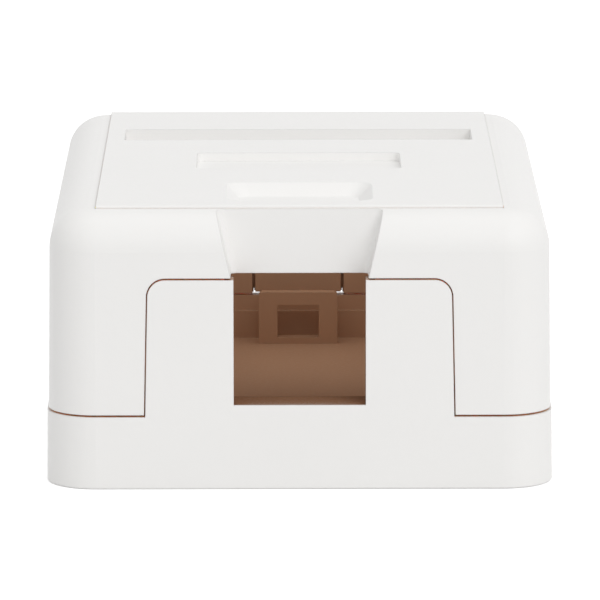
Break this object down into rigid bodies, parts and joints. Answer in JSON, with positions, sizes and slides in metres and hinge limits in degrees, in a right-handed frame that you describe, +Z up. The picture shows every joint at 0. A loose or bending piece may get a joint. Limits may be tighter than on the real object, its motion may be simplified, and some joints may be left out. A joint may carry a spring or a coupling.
{
  "type": "surface mount jack box",
  "caption": "Low rectangular surface mount box with a front opening for one modular jack, a lift-off cover with a finger notch, and a sliding label plate on top.",
  "frame": {"origin": "centre of the footprint on the mounting surface", "axes": "+Z up out of the mounting surface, -Y is the front with the jack opening, +X to the right seen from the front"},
  "size_m": [0.0564, 0.077, 0.0311],
  "materials": {
    "base_plastic": "moulded white ABS, fine satin",
    "cover_plastic": "moulded white ABS, fine satin",
    "plate_plastic": "moulded white ABS, fine satin"
  },
  "bodies": {
    "base": {"base": "base_plastic"},
    "cover": {"cover": "cover_plastic"},
    "label_plate": {"label_plate": "plate_plastic"}
  },
  "joints": [
    {"name": "cover_lift", "type": "slide", "parent": "base", "child": "cover", "axis": [0, 0, 1], "range_m": [0, 0.03]},
    {"name": "label_plate_slide", "type": "slide", "parent": "cover", "child": "label_plate", "axis": [0, 1, 0], "range_m": [0, 0.072]}
  ]
}
